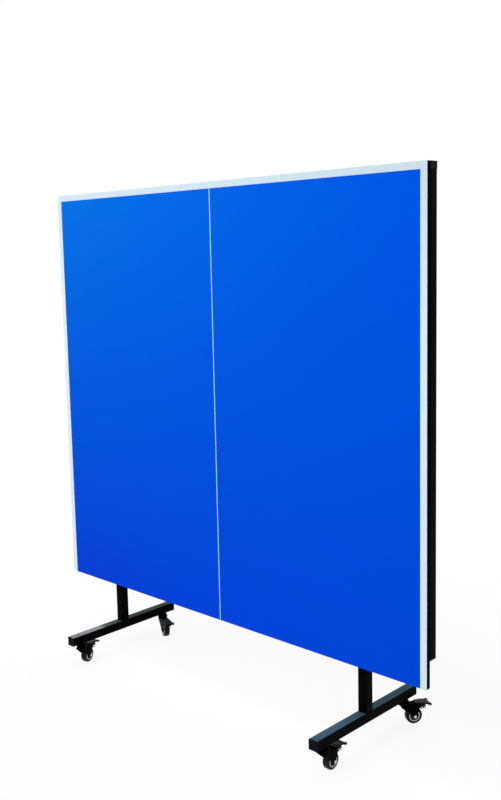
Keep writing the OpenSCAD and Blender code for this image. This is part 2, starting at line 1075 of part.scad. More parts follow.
module caster_fork() {
    black_steel() {
        difference() {
            union() {
                intersection() {
                    translate([crown_front_x - 1, 0, 0])
                        rotate([90, 0, 90])
                            linear_extrude(pedal_pin_x + 4 * pin_pad_r)
                                fork_section();
                    rotate([90, 0, 0])
                        linear_extrude(4 * fork_outer, center = true)
                            fork_outline();
                }
                translate([0, 0, crown_z])
                    cylinder(r = race_r, h = race_split_z - crown_z);
            }
            // Room for the pedal behind the crown
            translate([crown_end_x, -fork_inner, crown_z - 1])
                cube([pedal_pin_x, 2 * fork_inner, fork_t + 2]);
            cylinder(r = stem_r + turn_fit, h = foot_z);
            translate([trail, 0, wheel_r])
                rotate([90, 0, 0])
                    cylinder(r = axle_r + turn_fit, h = 4 * fork_outer, center = true);
        }
        // Rivet that the pedal turns on
        translate([pedal_pin_x, 0, pedal_pin_z])
            rotate([90, 0, 0])
                cylinder(r = pedal_pin_r, h = 2 * (fork_outer + 1), center = true);
    }
}

module caster_axle() {
    bright_steel()
        translate([trail, 0, wheel_r])
            rotate([90, 0, 0]) {
                cylinder(r = axle_r, h = 2 * (fork_outer + axle_nut_t + 0.5),
                         center = true);
                for (z = [fork_outer, -fork_outer - axle_nut_t])
                    translate([0, 0, z])
                        hex(axle_nut_flats, axle_nut_t);
            }
}

// Wheel parts are turned about the axle
module on_axle() {
    translate([trail, 0, wheel_r])
        rotate([90, 0, 0])
            rotate_extrude($fn = 96)
                children();
}

module caster_tyre() {
    shoulder = 4;
    color([0.06, 0.06, 0.06])
        on_axle() {
            translate([rim_r, -tyre_w / 2])
                square([wheel_r - rim_r - shoulder, tyre_w]);
            translate([rim_r, shoulder - tyre_w / 2])
                square([wheel_r - rim_r, tyre_w - 2 * shoulder]);
            for (side = [-1, 1])
                translate([wheel_r - shoulder, side * (tyre_w / 2 - shoulder)])
                    circle(shoulder);
        }
}

module caster_hub() {
    bore_r = axle_r + turn_fit;
    color([0.72, 0.73, 0.74])
        on_axle() {
            // Rim ring, web and the boss that runs on the axle
            translate([rim_r - 3, -tyre_w / 2])
                square([3, tyre_w]);
            translate([bore_r, -3])
                square([rim_r - bore_r - 1, 6]);
            translate([bore_r, -fork_inner + 0.4])
                square([4, 2 * fork_inner - 0.8]);
        }
}

// Plan of the pedal: narrow between the legs, flared to a fish tail
module tail_outline() {
    bow_r = 30;
    notch = 4;
    waist = neck_half_w + 2;
    flare_x = pedal_reach - 14;
    half = [[-7, neck_half_w - 2], [-5, neck_half_w], [pin_pad_r + 1, neck_half_w],
            [pin_pad_r + 6, waist], [flare_x, waist],
            [pedal_reach - 5, tail_half_w], [pedal_reach, tail_half_w - 2]];
    difference() {
        for (side = [0, 1])
            mirror([0, side])
                polygon(concat([[-7, -eps]], half, [[pedal_reach, -eps]]));
        translate([pedal_reach + bow_r - notch, 0])
            circle(bow_r);
    }
}

// Plan of the rim under the tail's edge, behind the fork's legs
module tail_rim() {
    intersection() {
        difference() {
            tail_outline();
            offset(delta = -tail_rim_t)
                tail_outline();
        }
        translate([pin_pad_r + 3, -tail_half_w])
            square([pedal_reach, 2 * tail_half_w]);
    }
}

// A layer of the tail, that thick over its plan: it bows down to its tip
module tail_layer(t) {
    intersection() {
        rotate([90, 0, 0])
            linear_extrude(3 * tail_half_w, center = true)
                translate([crest_x, crest_z - crest_r])
                    difference() {
                        circle(crest_r, $fn = 360);
                        circle(crest_r - t, $fn = 360);
                    }
        linear_extrude(4 * crest_z, center = true)
            children();
    }
}

// The brake bar as it lies when the pedal is up, with that radius
module bar_outline(r) {
    rotate(pedal_travel)
        translate([pressed_x, pressed_z]) {
            circle(r);
            translate([-r, 0])
                square([2 * r, bar_l]);
            translate([0, bar_l])
                circle(r);
        }
}

// Side view of the pedal's barrel, its lip and the arm that holds the bar
module lever_outline() {
    top_z = crest_z - pedal_t + 0.2;
    circle(barrel_r);
    translate([lip_x, lip_z])
        circle(lip_r);
    polygon([[-barrel_r, 0], [-5, top_z], [lip_x + 2, top_z],
             [lip_x + lip_r, lip_z], [lip_x, lip_z - lip_r], [0, -barrel_r]]);
    rotate(pedal_travel)
        polygon([[0, -barrel_r], [pressed_x - 4, pressed_z + 1.5],
                 [pressed_x + 4, pressed_z + 1.5], [pressed_x + 6, 0]]);
}

// A moulded tail and lever, the steel brake bar and the lip's cross pin.
// The bar's nose stops just short of the tyre when the pedal is down.
module caster_pedal() {
    black_plastic()
        translate([pedal_pin_x, 0, pedal_pin_z]) {
            difference() {
                union() {
                    rotate([90, 0, 0])
                        linear_extrude(2 * neck_half_w, center = true)
                            lever_outline();
                    tail_layer(pedal_t)
                        tail_outline();
                    tail_layer(pedal_t + pedal_rim)
                        tail_rim();
                }
                rotate([90, 0, 0])
                    linear_extrude(4 * fork_outer, center = true) {
                        circle(pedal_pin_r + turn_fit);
                        bar_outline(shoe_r + turn_fit);
                        translate([lip_x, lip_z])
                            circle(lip_pin_r + turn_fit);
                    }
            }
            rotate([90, 0, 0]) {
                linear_extrude(2 * neck_half_w, center = true)
                    bar_outline(shoe_r);
                translate([lip_x, lip_z])
                    cylinder(r = lip_pin_r, h = 2 * neck_half_w + 1.6,
                             center = true);
            }
        }
}

// ---- Base ----
foot(left);  // left_foot
foot(right);  // right_foot
post(left);  // left_post
post(right);  // right_post
brace(base_brace_z);  // base_brace
base_end_caps();
post_top_caps();
post_link_tabs();
post_link_pins();
caster_stems();
clamp_bolts();

// ---- Top ----
playing_board();
edge_band();
court_lines();
side_rails();
end_rail();
pivot_rails();
centre_rail();
cross_rails();
net_end_strap();
rail_end_plugs();
tilt_brackets();
leg_hinge_brackets();
frame_screws();
pivot_bolts();
pivot_washers();
storage_bumpers();
clamp_knob(left);  // left_clamp_knob
clamp_knob(right);  // right_clamp_knob

// ---- End legs and links ----
end_leg(left);  // left_end_leg
end_leg(right);  // right_end_leg
brace(leg_brace_z);  // end_leg_brace
leg_link_tabs();
leg_link_pins();
leg_end_caps();
leveller(left);  // left_leveller
leveller(right);  // right_leveller
link_bar(left);  // left_link
link_bar(right);  // right_link

// ---- Casters ----
left_front() caster_fork();  // left_front_fork
left_front() caster_pedal();  // left_front_pedal
left_front() caster_tyre();  // left_front_tyre
left_front() caster_hub();  // left_front_hub
left_front() caster_axle();  // left_front_axle
left_back() caster_fork();  // left_back_fork
left_back() caster_pedal();  // left_back_pedal
left_back() caster_tyre();  // left_back_tyre
left_back() caster_hub();  // left_back_hub
left_back() caster_axle();  // left_back_axle
right_front() caster_fork();  // right_front_fork
right_front() caster_pedal();  // right_front_pedal
right_front() caster_tyre();  // right_front_tyre
right_front() caster_hub();  // right_front_hub
right_front() caster_axle();  // right_front_axle
right_back() caster_fork();  // right_back_fork
right_back() caster_pedal();  // right_back_pedal
right_back() caster_tyre();  // right_back_tyre
right_back() caster_hub();  // right_back_hub
right_back() caster_axle();  // right_back_axle
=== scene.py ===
import json
import math
import random

import bmesh
import bpy
from mathutils import Matrix, Vector
from mathutils.bvhtree import BVHTree

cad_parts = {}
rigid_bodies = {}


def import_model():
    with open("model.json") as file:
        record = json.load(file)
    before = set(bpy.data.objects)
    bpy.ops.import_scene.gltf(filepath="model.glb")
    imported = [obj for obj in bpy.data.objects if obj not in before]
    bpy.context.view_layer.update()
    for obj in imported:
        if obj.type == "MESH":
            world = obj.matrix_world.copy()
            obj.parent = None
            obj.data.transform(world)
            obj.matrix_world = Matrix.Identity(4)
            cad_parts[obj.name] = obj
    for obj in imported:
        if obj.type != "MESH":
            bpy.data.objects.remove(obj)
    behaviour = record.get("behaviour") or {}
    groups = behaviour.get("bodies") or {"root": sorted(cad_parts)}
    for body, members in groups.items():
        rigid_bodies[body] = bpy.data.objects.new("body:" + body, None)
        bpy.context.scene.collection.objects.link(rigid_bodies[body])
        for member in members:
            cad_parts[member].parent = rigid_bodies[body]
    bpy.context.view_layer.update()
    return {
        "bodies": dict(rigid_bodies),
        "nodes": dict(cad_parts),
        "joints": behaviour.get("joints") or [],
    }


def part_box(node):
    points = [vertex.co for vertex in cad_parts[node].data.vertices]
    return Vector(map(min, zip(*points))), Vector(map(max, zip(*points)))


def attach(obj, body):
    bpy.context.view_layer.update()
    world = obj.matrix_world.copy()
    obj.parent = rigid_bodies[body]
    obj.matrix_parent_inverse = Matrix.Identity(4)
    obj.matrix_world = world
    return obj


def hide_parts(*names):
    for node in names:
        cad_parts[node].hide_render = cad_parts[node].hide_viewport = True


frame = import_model()
NODES = frame["nodes"]
JOINTS = {j["name"]: j for j in frame["joints"]}

# ---- View: a camera fitted to the photograph's corners and feet ----
CAMERA_AT = (2.134, -2.163, 1.412)
YAW, PITCH, ROLL = (math.radians(a) for a in (45.337, 7.274, -1.540))
LENS, SENSOR = 44.39, 36.0
SHIFT = (0.05, -0.0275)

# ---- Light ----
AMBIENT = 0.56
AIM_AT = (0.0, 0.0, 0.85)
# name: (place, diameter in metres, power in watts)
SOFTBOXES = {
    "key": ((0.4, -4.2, 2.9), 1.8, 62.0),
    "fill": ((-3.2, -2.8, 2.2), 2.4, 14.0),
    "back": ((0.5, 3.6, 2.6), 2.4, 40.0),
    "top": ((-0.8, -0.7, 3.4), 1.4, 24.0),
}

# ---- Floor ----
FLOOR_RADIUS, FLOOR_RINGS, FLOOR_SIDES = 9.0, 24, 96
FLOOR_GLOW = 1.02            # strength of the white that the eye sees on the floor
SHADOW_SHARE = 0.16          # share of the lit floor near the object, which holds the shadow
FADE_FROM, FADE_TO = 0.9, 2.6  # metres from the middle, over which that share fades out

CASTERS = ("left_front", "left_back", "right_front", "right_back")
MM = 0.001
BLACK = (0.0, 0.0, 0.0, 1.0)
WHITE = (1.0, 1.0, 1.0, 1.0)
UP = Vector((0, 0, 1))
DOWN = Vector((0, 0, -1))
FORE = Vector((0, -1, 0))
BACK = Vector((0, 1, 0))


# ---- Node materials ----
class Paint:
    """A material around one Principled shader. What is the same all over is set on its sockets."""

    def __init__(self, name, sockets):
        self.material = bpy.data.materials.new(name)
        self.material.use_nodes = True
        self.tree = self.material.node_tree
        self.tree.nodes.clear()
        self.shader = self.add("BsdfPrincipled")
        self.set(self.shader, sockets)
        self.link(self.shader.outputs[0], self.add("OutputMaterial").inputs[0])
        self.place = self.add("TexCoord").outputs["Object"]

    def add(self, kind, **values):
        node = self.tree.nodes.new("ShaderNode" + kind)
        for key, value in values.items():
            setattr(node, key, value)
        return node

    def link(self, a, b):
        self.tree.links.new(a, b)

    def set(self, node, sockets):
        for key, value in sockets.items():
            if isinstance(value, bpy.types.NodeSocket):
                self.link(value, node.inputs[key])
            else:
                node.inputs[key].default_value = value

    def noise(self, scale, detail=2.0, stretch=None, seed=0.0):
        """Noise over the object's own place, in features per metre."""
        node = self.add("TexNoise", noise_dimensions="4D")
        self.set(node, {"Scale": scale, "Detail": detail, "W": seed})
        self.link(self.stretched(stretch), node.inputs["Vector"])
        return node.outputs[0]

    def cells(self, scale, stretch=None):
        """Cells over the object's own place: distance to the cell's point and a colour of its own."""
        node = self.add("TexVoronoi")
        self.set(node, {"Scale": scale})
        self.link(self.stretched(stretch), node.inputs["Vector"])
        return node.outputs

    def stretched(self, stretch):
        if stretch is None:
            return self.place
        node = self.add("VectorMath", operation="MULTIPLY")
        self.link(self.place, node.inputs[0])
        node.inputs[1].default_value = stretch
        return node.outputs[0]

    def range(self, value, low, high, to_low=0.0, to_high=1.0, smooth=False):
        node = self.add("MapRange")
        if smooth:
            node.interpolation_type = "SMOOTHSTEP"
        self.set(node, {0: value, 1: low, 2: high, 3: to_low, 4: to_high})
        return node.outputs[0]

    def math(self, operation, a, b=None):
        node = self.add("Math", operation=operation)
        self.set(node, {0: a} if b is None else {0: a, 1: b})
        return node.outputs[0]

    def mix(self, share, a, b):
        """Colour a where the share is 0, b where it is 1. 6, 7 and 2 are the node's colour sockets."""
        node = self.add("Mix", data_type="RGBA")
        self.set(node, {0: share, 6: rgba(a), 7: rgba(b)})
        return node.outputs[2]

    def axis(self, name):
        node = self.add("SeparateXYZ")
        self.link(self.place, node.inputs[0])
        return node.outputs[name]

    def relief(self, height, depth, edge_r=0.0):
        """Bump of that depth, over edges rounded by that radius, both in millimetres."""
        node = self.add("Bump")
        self.set(node, {"Strength": 1.0, "Distance": depth * MM, "Height": height})
        if edge_r:
            edge = self.add("Bevel", samples=4)
            edge.inputs["Radius"].default_value = edge_r * MM
            self.link(edge.outputs[0], node.inputs["Normal"])
        self.link(node.outputs[0], self.shader.inputs["Normal"])

    def facing(self, axis):
        """1 on faces that look along that axis, 0 on the rest. It goes by the object's own normal."""
        split = self.add("SeparateXYZ")
        self.link(self.add("TexCoord").outputs["Normal"], split.inputs[0])
        return self.range(split.outputs[axis], 0.80, 0.98, smooth=True)

    def painted_top_reflection(self, colour):
        """A painted reflection on what faces up: bluer to the right, and a painted lamp highlight on
        the left foot's front.
        """
        patchy = self.range(self.noise(7.0, 4.0, seed=8.0), 0.3, 0.7, 0.65, 1.0)
        left = self.mix(self.range(self.axis("Y"), *REFLECTION_FRONT_Y), REFLECTION_FRONT, REFLECTION_LEFT)
        reflection = self.mix(self.range(self.axis("X"), -0.55, 0.55), left, REFLECTION_RIGHT)
        return self.mix(self.math("MULTIPLY", self.facing("Z"), patchy), colour, reflection)

    def colour(self, value):
        self.set(self.shader, {"Base Color": value})

    def rough(self, value):
        self.set(self.shader, {"Roughness": value})


# Painted reflection on the base's upward faces: a lamp highlight at the left foot's front, the blue
# face mirrored on the right.
REFLECTION_FRONT = (0.327, 0.338, 0.319)
REFLECTION_LEFT = (0.063, 0.092, 0.087)
REFLECTION_RIGHT = (0.062, 0.125, 0.175)
REFLECTION_FRONT_Y = (-0.105, -0.085)  # the painted lamp highlight on the left foot's front ends between these
CORE_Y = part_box("playing_board")[0].y + 0.8 * MM
END_LINE_W = 20.0 * MM
HALF_CENTRE_W = (4.0 * MM, 6.0 * MM)  # the centre line's own tone ends between these
RIM_R = (13.9 * MM, 14.2 * MM, 16.6 * MM, 16.9 * MM)  # the hub's grey ring fades in and out


def rgba(value):
    if isinstance(value, (tuple, list)) and len(value) == 3:
        return (*value, 1.0)
    return value


def playing_paint():
    """Satin blue paint on the playing face, lighter and greener towards the upper left as a painted
    sheen, sealed dark particle board behind it.
    """
    p = Paint("playing_paint", {"Specular IOR Level": 0.015, "Specular Tint": (0.0, 1.0, 0.72, 1.0)})
    behind = p.math("GREATER_THAN", p.axis("Y"), CORE_Y)
    # Painted sheen: the blue is lighter and greener higher up and to the left.
    height, across = p.range(p.axis("Z"), 0.3, 1.6), p.range(p.axis("X"), -0.76, 0.76)
    left = p.mix(height, (0.0, 0.048, 0.650), (0.0, 0.140, 0.660))
    right = p.mix(height, (0.0, 0.060, 0.680), (0.0, 0.088, 0.710))
    blue = p.mix(across, left, right)
    cloud = p.range(p.noise(1.1, 3.0), 0.35, 0.65, 0.0, 0.12, smooth=True)
    blue = p.mix(cloud, blue, (0.0, 0.075, 0.780))
    speck = p.range(p.noise(900.0, 1.0, seed=3.0), 0.3, 0.7, 0.0, 0.05)
    blue = p.mix(speck, blue, (0.0, 0.09, 0.80))
    chips = p.cells(210.0, (1.0, 1.0, 0.6))
    tone = p.math("ADD", p.math("MULTIPLY", chips["Color"], 0.7), p.noise(420.0, 3.0))
    tone = p.math("MULTIPLY", tone, 0.6)
    board = p.mix(p.range(tone, 0.1, 0.9), (0.030, 0.026, 0.022), (0.066, 0.056, 0.046))
    board = p.mix(p.range(p.noise(35.0, 4.0), 0.4, 0.75, 0.0, 0.6), board, (0.020, 0.018, 0.017))
    p.colour(p.mix(behind, blue, board))
    smooth = p.range(p.noise(6.0, 4.0, seed=1.0), 0.3, 0.7, 0.40, 0.47)
    p.rough(p.math("ADD", smooth, p.math("MULTIPLY", behind, 0.25)))
    grain = p.math("MULTIPLY", p.noise(700.0, 2.0), p.math("SUBTRACT", 1.0, behind))
    flake = p.math("MULTIPLY", chips["Distance"], p.math("MULTIPLY", behind, 3.0))
    p.relief(p.math("ADD", grain, flake), 0.06)
    return p.material


def line_paint():
    """White line paint, with painted shade dimming it towards the top, and cooler on the thin centre
    line.
    """
    p = Paint("line_paint", {"Specular IOR Level": 0.05})
    white = p.mix(p.range(p.noise(25.0, 5.0), 0.3, 0.7), (0.650, 0.790, 0.865), (0.695, 0.840, 0.905))
    # Painted shade: the white is dimmer towards the top.
    white = p.mix(p.range(p.axis("Z"), 1.25, 1.6), white, (0.562, 0.695, 0.770))
    off_centre = p.range(p.math("ABSOLUTE", p.axis("X")), *HALF_CENTRE_W)
    at_end = p.math("GREATER_THAN", p.axis("Z"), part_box("court_lines")[1].z - END_LINE_W)
    p.colour(p.mix(p.math("MAXIMUM", off_centre, at_end), (0.36, 0.74, 0.95), white))
    p.rough(p.range(p.noise(60.0, 3.0, seed=2.0), 0.3, 0.7, 0.42, 0.52))
    p.relief(p.noise(800.0, 2.0), 0.05)
    return p.material


def band_plastic():
    """Extruded black edge band: a fine grain, with next to no gloss."""
    p = Paint("band_plastic", {"Specular IOR Level": 0.004, "Specular Tint": BLACK})
    p.colour(p.mix(p.noise(18.0, 3.0), (0.0006, 0.0007, 0.0010), (0.0016, 0.0018, 0.0022)))
    p.rough(p.range(p.noise(150.0, 3.0), 0.3, 0.7, 0.42, 0.55))
    p.relief(p.noise(1500.0, 1.0), 0.05, edge_r=0.4)
    return p.material


def powder_coat(name, dusty=False):
    """Black powder coat: orange peel and finer specks of texture, greyer on the faces at the back as a
    painted sheen, with a painted reflection on upward faces if asked.
    """
    p = Paint(name, {"Specular IOR Level": 0.01})
    cloud = p.range(p.noise(9.0, 4.0), 0.3, 0.7)
    deep = p.mix(cloud, (0.0005, 0.0007, 0.0010), (0.0014, 0.0017, 0.0021))
    # Greyer on faces that look back: a painted sheen that stands in for gloss.
    grey = p.mix(cloud, (0.0090, 0.0096, 0.0104), (0.0135, 0.0142, 0.0152))
    coat = p.mix(p.facing("Y"), deep, grey)
    p.colour(p.painted_top_reflection(coat) if dusty else coat)
    p.rough(p.range(p.noise(40.0, 4.0, seed=5.0), 0.25, 0.75, 0.30, 0.40))
    peel = p.math("ADD", p.noise(420.0, 1.0), p.math("MULTIPLY", p.noise(1700.0, 1.0), 0.35))
    p.relief(peel, 0.09, edge_r=0.5)
    return p.material


def swivel_coat():
    """E-coated sheet steel of the casters: smoother and a little brighter than the tube."""
    p = Paint("swivel_coat", {"Specular IOR Level": 0.012, "Specular Tint": (0.12, 0.13, 0.15, 1.0)})
    p.colour(p.mix(p.range(p.noise(60.0, 4.0), 0.3, 0.7),
                   (0.0008, 0.0009, 0.0012), (0.0026, 0.0029, 0.0034)))
    p.rough(p.range(p.noise(220.0, 3.0, seed=5.0), 0.25, 0.75, 0.26, 0.38))
    p.relief(p.noise(900.0, 2.0), 0.06, edge_r=0.5)
    return p.material


def moulded(name, dark, light, level, rough, grain=0.10, edge_r=0.5, glint=0.2):
    """Moulded plastic or rubber with an eroded grain."""
    p = Paint(name, {"Specular IOR Level": level, "Specular Tint": (glint, glint, glint, 1.0)})
    p.colour(p.mix(p.range(p.noise(45.0, 4.0), 0.3, 0.7), dark, light))
    p.rough(p.range(p.noise(300.0, 2.0, seed=4.0), 0.3, 0.7, rough - 0.05, rough + 0.05))
    pits = p.cells(1300.0)["Distance"]
    p.relief(p.math("ADD", pits, p.noise(2600.0, 1.0)), grain, edge_r)
    return p.material


def pedal_plastic():
    """The moulded black of a brake pedal, with a painted sheen on top, lighter and bluer in streaks.
    """
    p = Paint("pedal_plastic", {"Specular IOR Level": 0.06})
    sheen_streaks = p.range(p.noise(140.0, 5.0, (1.0, 1.0, 0.3)), 0.35, 0.7)
    painted_top_sheen = p.mix(sheen_streaks, (0.010, 0.018, 0.023), (0.024, 0.040, 0.048))
    side_black = p.mix(p.range(p.noise(45.0, 4.0), 0.3, 0.7),
                  (0.0010, 0.0012, 0.0016), (0.0034, 0.0037, 0.0044))
    # Faces that look up get the painted sheen.
    p.colour(p.mix(p.facing("Z"), side_black, painted_top_sheen))
    p.rough(p.range(p.noise(300.0, 2.0, seed=4.0), 0.3, 0.7, 0.24, 0.34))
    p.relief(p.noise(1500.0, 2.0), 0.05, edge_r=0.5)
    return p.material


def zinc():
    """Bright zinc plating with a mottled passivation."""
    p = Paint("zinc", {"Metallic": 1.0})
    mottle = p.range(p.noise(260.0, 5.0), 0.3, 0.7)
    p.colour(p.mix(mottle, (0.50, 0.51, 0.52), (0.68, 0.69, 0.70)))
    p.rough(p.range(p.noise(700.0, 3.0, seed=6.0), 0.3, 0.7, 0.22, 0.36))
    p.relief(p.noise(1600.0, 2.0), 0.06, edge_r=0.3)
    return p.material


def hub_plastic(place):
    """Grey hub plastic, made dark by painted shade inside and outside its grey ring, which goes by
    distance from the wheel's own axis.
    """
    joint = JOINTS[place + "_roll"]
    p = Paint(place + "_hub_plastic", {"Specular IOR Level": 0.5})
    offset = p.add("VectorMath", operation="SUBTRACT")
    p.set(offset, {0: p.place, 1: tuple(joint["pos_m"])})
    cross = p.add("VectorMath", operation="CROSS_PRODUCT")
    p.set(cross, {0: offset.outputs[0], 1: tuple(joint["axis"])})
    size = p.add("VectorMath", operation="LENGTH")
    p.link(cross.outputs[0], size.inputs[0])
    away = size.outputs["Value"]
    inside, outside = p.range(away, *RIM_R[:2]), p.range(away, *RIM_R[2:], 1.0, 0.0)
    rim = p.math("MULTIPLY", inside, outside)
    speckle = p.range(p.noise(500.0, 3.0), 0.3, 0.7)
    grey = p.mix(speckle, (0.50, 0.52, 0.53), (0.60, 0.62, 0.63))
    # The dark is painted shade on the hub's recessed web about the axle.
    dark = p.mix(speckle, (0.003, 0.003, 0.0034), (0.006, 0.006, 0.0066))
    p.colour(p.mix(rim, dark, grey))
    p.rough(p.range(p.noise(400.0, 2.0, seed=7.0), 0.3, 0.7, 0.32, 0.42))
    p.relief(p.noise(1800.0, 2.0), 0.05, edge_r=0.4)
    return p.material


PAINTS = {
    "blue_face": playing_paint(),
    "white_line": line_paint(),
    "edge_band": band_plastic(),
    "black_frame": powder_coat("powder_coat"),
    "black_plastic": moulded("black_plastic_grain", (0.0028, 0.0050, 0.0072),
                             (0.0052, 0.0086, 0.0120), 0.02, 0.44),
    "bright_steel": zinc(),
    "black_rubber": moulded("rubber_pad", (0.006, 0.006, 0.006),
                            (0.014, 0.014, 0.014), 0.25, 0.72),
    "tyre": moulded("tyre_rubber", (0.006, 0.007, 0.007), (0.014, 0.015, 0.015),
                    0.12, 0.40, grain=0.05),
    "nylon": moulded("nylon_natural", (0.62, 0.61, 0.57), (0.72, 0.71, 0.67), 0.45, 0.42,
                     grain=0.04, edge_r=0.25, glint=1.0),
}
# The base's frame has a painted reflection on its upward faces.
TOP_REFLECTING_FRAME = powder_coat("powder_coat_top_reflection", dusty=True)
SWIVEL = swivel_coat()
PEDAL = pedal_plastic()
SWIVEL_NODES = {"caster_stems"} | {place + "_fork" for place in CASTERS}
HUBS = {place + "_hub": hub_plastic(place) for place in CASTERS}

for name, thing in NODES.items():
    slot_name = thing.data.materials[0].name.split(".")[0]
    if name in HUBS:
        finish = HUBS[name]
    elif name in SWIVEL_NODES:
        finish = SWIVEL
    elif name.endswith("_pedal"):
        finish = PEDAL
    elif slot_name == "black_frame" and thing.parent is frame["bodies"]["base"]:
        finish = TOP_REFLECTING_FRAME
    else:
        finish = PAINTS[slot_name]
    for holder in thing.material_slots:
        holder.material = finish


# ---- Small pieces, placed from the CAD nodes ----
SHARP_ANGLE = math.radians(40)


def add_piece(name, verts, faces, body, finish):
    mesh = bpy.data.meshes.new(name)
    mesh.from_pydata(verts, [], faces)
    build = bmesh.new()
    build.from_mesh(mesh)
    bmesh.ops.recalc_face_normals(build, faces=build.faces)
    build.to_mesh(mesh)
    build.free()
    mesh.materials.append(finish)
    mesh.shade_smooth()
    mesh.set_sharp_from_angle(angle=SHARP_ANGLE)
    piece = bpy.data.objects.new(name, mesh)
    bpy.context.scene.collection.objects.link(piece)
    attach(piece, body)
    return piece


def islands(node):
    """The node's separate solids, each as (vertex numbers, lowest corner, highest corner)."""
    mesh = NODES[node].data
    places = [tuple(round(c, 6) for c in v.co) for v in mesh.vertices]
    group = {place: place for place in places}

    def root(place):
        while group[place] != place:
            group[place] = group[group[place]]
            place = group[place]
        return place

    for edge in mesh.edges:
        a, b = (root(places[i]) for i in edge.vertices)
        if a != b:
            group[a] = b
    solids = {}
    for i, place in enumerate(places):
        solids.setdefault(root(place), []).append(i)
    result = []
    for members in solids.values():
        points = [mesh.vertices[i].co for i in members]
        low = Vector(min(p[k] for p in points) for k in range(3))
        high = Vector(max(p[k] for p in points) for k in range(3))
        result.append((members, low, high))
    return sorted(result, key=lambda solid: tuple(round(c, 5) for c in solid[1]))


class Welds:
    """Rippled fillet beads, each along a corner where two faces meet."""

    RADIUS = 2.4 * MM
    RIPPLE = 1.9 * MM   # from crest to crest
    STEP = 0.5 * MM     # from ring to ring
    ARC = 5             # faces across the bead
    SUNK = 0.2 * MM     # how far its corner lies inside the metal
    SWELL, RAGGED = 0.10, 0.04  # height of the ripples and of their chance part, in radii
    BLUNT = 0.15        # how square the ends are
    TAPER = 1.5         # length of the narrowing at each end, in radii

    def __init__(self, name, body, seed):
        self.name, self.body = name, body
        self.verts, self.faces = [], []
        self.chance = random.Random(seed)

    def bead(self, start, end, along_a, along_b):
        """A bead from start to end. The two faces run from it along a and along b."""
        start, end, a, b = (Vector(v) for v in (start, end, along_a, along_b))
        length = (end - start).length
        steps = max(4, round(length / self.STEP))
        first = len(self.verts)
        ring = self.ARC + 2
        for i in range(steps + 1):
            run = length * i / steps
            near_end = min(run, length - run) / (self.TAPER * self.RADIUS)
            swell = 1 + self.SWELL * math.cos(2 * math.pi * run / self.RIPPLE)
            swell += self.chance.uniform(-self.RAGGED, self.RAGGED)
            size = self.RADIUS * swell * math.sqrt(min(1.0, self.BLUNT + near_end))
            at = start.lerp(end, i / steps)
            for k in range(self.ARC + 1):
                turn = math.pi / 2 * k / self.ARC
                self.verts.append(at + size * (a * math.cos(turn) + b * math.sin(turn)))
            self.verts.append(at - self.SUNK * (a + b))
        for i in range(steps):
            here, there = first + i * ring, first + (i + 1) * ring
            for k in range(ring):
                n = (k + 1) % ring
                self.faces.append((here + k, here + n, there + n, there + k))
        self.faces.append(tuple(first + k for k in range(ring)))
        self.faces.append(tuple(first + steps * ring + k for k in range(ring)))

    def finish(self):
        add_piece(self.name, self.verts, self.faces, self.body, PAINTS["black_frame"])


TUBE_R = 3.0 * MM   # a bead stops short of a tube's rounded corner
TAB_GAP = 1.0 * MM  # and this far from the ends of a tab


def weld_brace(welds, brace, upright):
    """Above and below a brace, across the back face of an upright."""
    low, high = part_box(brace)
    post_low, post_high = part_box(upright)
    left, right, back = post_low.x + TUBE_R, post_high.x - TUBE_R, post_high.y
    for z, away in ((low.z, DOWN), (high.z, UP)):
        welds.bead((left, back, z), (right, back, z), away, BACK)


def weld_tabs(welds, node):
    """Down the inner side of each link tab, where it meets the back of its upright."""
    for _, low, high in islands(node):
        inner = low.x if low.x > 0 else high.x
        side = Vector((-1 if low.x > 0 else 1, 0, 0))
        foot, head = low.z + TAB_GAP, high.z - TAB_GAP
        welds.bead((inner, low.y, foot), (inner, low.y, head), BACK, side)


def make_base_welds():
    welds = Welds("base_welds", "base", 11)
    for side in ("left", "right"):
        post, foot = side + "_post", side + "_foot"
        low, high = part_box(post)
        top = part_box(foot)[1].z
        for y, away in ((low.y, FORE), (high.y, BACK)):
            welds.bead((low.x + TUBE_R, y, top), (high.x - TUBE_R, y, top), away, UP)
        weld_brace(welds, "base_brace", post)
    weld_tabs(welds, "post_link_tabs")
    welds.finish()


def make_leg_welds():
    welds = Welds("end_leg_welds", "end_legs", 12)
    for side in ("left", "right"):
        weld_brace(welds, "end_leg_brace", side + "_end_leg")
    weld_tabs(welds, "leg_link_tabs")
    welds.finish()


def make_rail_welds():
    """Upright rails to the end rail, and cross rails to the upright rails."""
    welds = Welds("rail_welds", "table_top", 13)
    rail_low, rail_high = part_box("end_rail")
    near, far = rail_low.y + TUBE_R, rail_high.y - TUBE_R
    under, edge = rail_low.z, rail_high.x
    for node in ("side_rails", "pivot_rails", "centre_rail"):
        for _, low, high in islands(node):
            for x, side in ((low.x, -1), (high.x, 1)):
                if abs(x) < edge - TUBE_R:
                    welds.bead((x, near, under), (x, far, under), (side, 0, 0), DOWN)
    for _, low, high in islands("cross_rails"):
        for x, side in ((low.x, 1), (high.x, -1)):
            for z, away in ((low.z, DOWN), (high.z, UP)):
                welds.bead((x, near, z), (x, far, z), (side, 0, 0), away)
    welds.finish()


# Of a box whose corners are numbered round its bottom, then round its top
BOX_FACES = ((0, 3, 2, 1), (4, 5, 6, 7), (0, 1, 5, 4), (1, 2, 6, 5), (2, 3, 7, 6), (3, 0, 4, 7))


def lathe(profile, sides):
    """Vertices and faces of a profile of (radius, height) turned about Z, closed at both ends."""
    verts, faces = [], []
    for radius, height in profile:
        for k in range(sides):
            turn = 2 * math.pi * k / sides
            verts.append(Vector((radius * math.cos(turn), radius * math.sin(turn), height)))
    for i in range(len(profile) - 1):
        for k in range(sides):
            n = (k + 1) % sides
            faces.append((i * sides + k, i * sides + n, (i + 1) * sides + n, (i + 1) * sides + k))
    last = (len(profile) - 1) * sides
    faces += [tuple(range(sides)), tuple(range(last, last + sides))]
    return verts, faces


